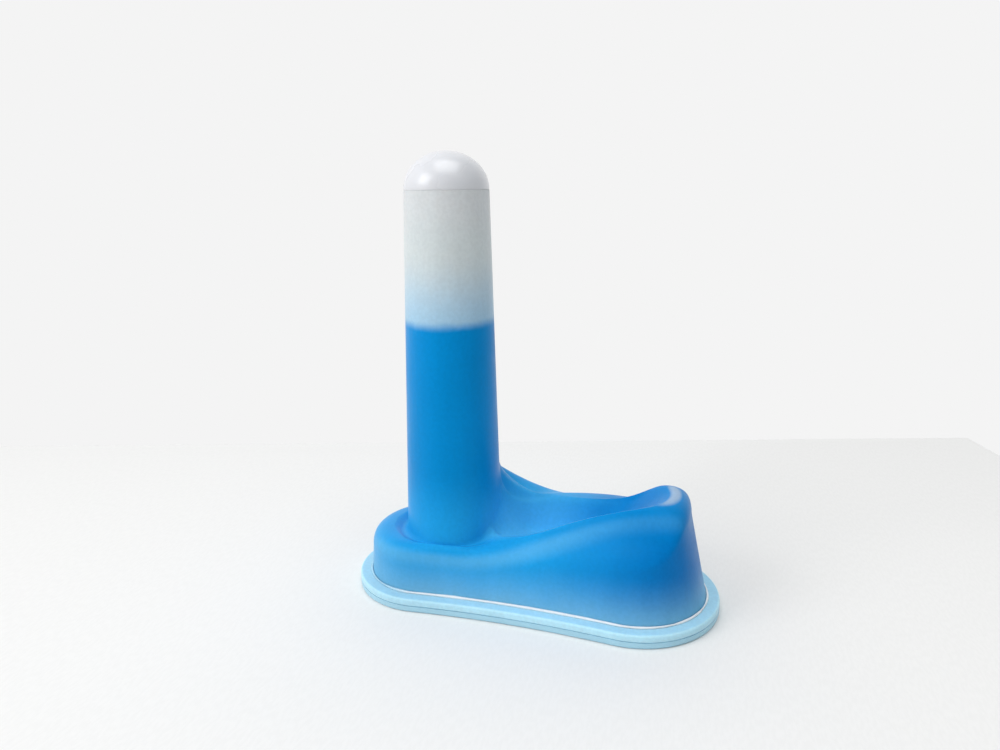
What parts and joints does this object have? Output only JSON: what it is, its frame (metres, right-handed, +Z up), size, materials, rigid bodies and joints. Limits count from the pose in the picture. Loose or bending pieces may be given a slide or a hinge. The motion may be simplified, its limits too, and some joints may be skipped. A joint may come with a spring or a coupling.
{
  "type": "liquid-filled stem vessel",
  "caption": "Closed frosted plastic vessel part-filled with blue liquid: tall round-ended stem with a push-in domed cap, on a scooped pear-shaped base with a flat flanged foot.",
  "frame": {"origin": "centre of the footprint's bounding box, on the underside of the base plate", "axes": "+Z up along the stem, +X from the stem towards the raised wide end of the base, +Y to the side where the rim sweeps up into the stem"},
  "size_m": [0.1264, 0.0574, 0.1486],
  "materials": {
    "vessel_shell": "frosted translucent moulding, tinted by the liquid behind it",
    "dome_cap": "frosted translucent moulding with a satin sheen",
    "o_ring": "pale silicone rubber",
    "base_plate": "frosted pale blue moulding",
    "base_gasket": "thin clear sealing film",
    "sealant_bead": "white cured sealant",
    "liquid_fill": "dyed water"
  },
  "bodies": {
    "vessel": {"vessel_shell": "vessel_shell", "base_plate": "base_plate", "base_gasket": "base_gasket", "sealant_bead": "sealant_bead", "liquid_fill": "liquid_fill"},
    "cap": {"dome_cap": "dome_cap", "cap_o_ring_upper": "o_ring", "cap_o_ring_lower": "o_ring"}
  },
  "joints": [
    {"name": "cap_pull", "type": "slide", "parent": "vessel", "child": "cap", "axis": [0, 0, 1], "range_m": [0, 0.045]}
  ]
}
